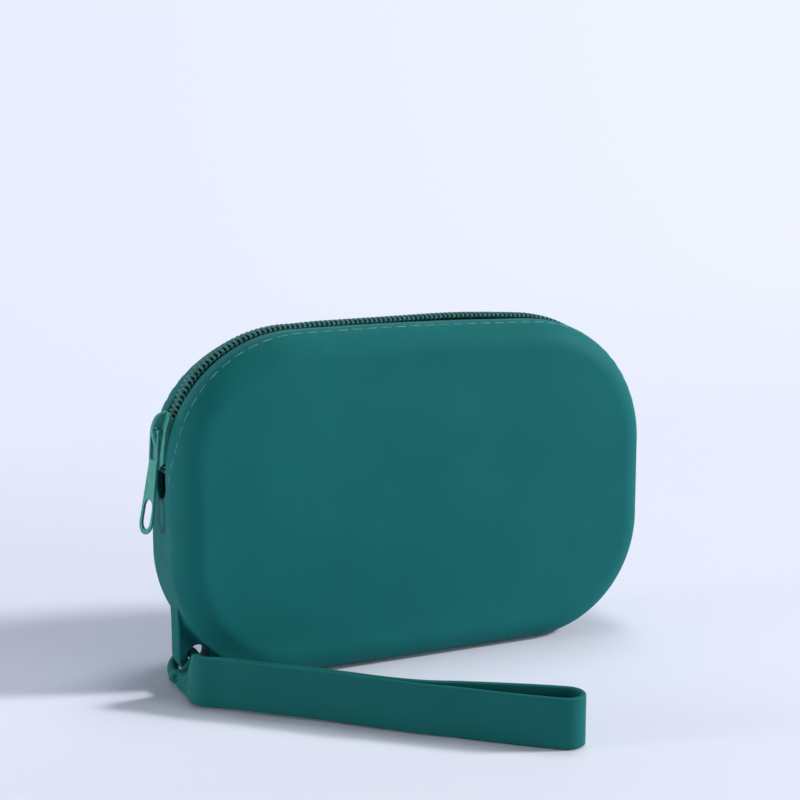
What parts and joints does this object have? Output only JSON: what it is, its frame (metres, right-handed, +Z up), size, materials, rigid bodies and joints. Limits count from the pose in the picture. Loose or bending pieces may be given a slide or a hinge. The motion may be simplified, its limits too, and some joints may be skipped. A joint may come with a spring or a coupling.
{
  "type": "silicone zip pouch",
  "caption": "Soft silicone pouch with rounded corners, a coil zip round its upper edge and a wrist strap hitched to a corner lug.",
  "frame": {"origin": "centre of the pouch's flat resting face, on its middle plane", "axes": "+X along the pouch's width, away from the strap lug; -Y towards the front face; +Z up towards the zip"},
  "size_m": [0.158, 0.1105, 0.1001],
  "materials": {
    "silicone": "smooth matte silicone with a faint sheen",
    "strap": "smooth matte silicone band",
    "zip_tape": "dark woven tape",
    "zip_coil": "nylon coil with a soft gloss",
    "thread": "polyester sewing thread",
    "slider_paint": "satin enamel over die-cast metal"
  },
  "bodies": {
    "back": {"back_shell": "silicone", "strap_lug": "silicone", "back_zip_tape": "zip_tape", "back_zip_coil": "zip_coil", "back_needle_thread": "thread", "back_bobbin_thread": "thread", "strap_hitch": "strap"},
    "front": {"front_shell": "silicone", "front_zip_tape": "zip_tape", "front_zip_coil": "zip_coil", "front_needle_thread": "thread", "front_bobbin_thread": "thread"},
    "slider": {"slider_body": "slider_paint"},
    "pull": {"pull_tab": "slider_paint"},
    "strap": {"wrist_strap": "strap"}
  },
  "joints": [
    {"name": "mouth_opening", "type": "hinge", "parent": "back", "child": "front", "pos_m": [0, -0.00795, 0], "axis": [1, 0, 0], "range_deg": [0, 15], "deforming": ["front_zip_coil"]},
    {"name": "slider_travel", "type": "hinge", "parent": "back", "child": "slider", "pos_m": [-0.03735, 0, 0.06062], "axis": [0, 1, 0], "range_deg": [0, 69], "deforming": ["back_zip_coil"]},
    {"name": "pull_swing", "type": "hinge", "parent": "slider", "child": "pull", "pos_m": [-0.07726, 0, 0.07249], "axis": [0, 1, 0], "range_deg": [0, 120]},
    {"name": "strap_swing", "type": "hinge", "parent": "back", "child": "strap", "pos_m": [-0.06986, -0.01125, 0.00446], "axis": [0, 0, 1], "range_deg": [-60, 35]}
  ],
  "couplings": [
    {"joint": "slider_travel", "follows": "mouth_opening", "ratio": 4.6}
  ]
}
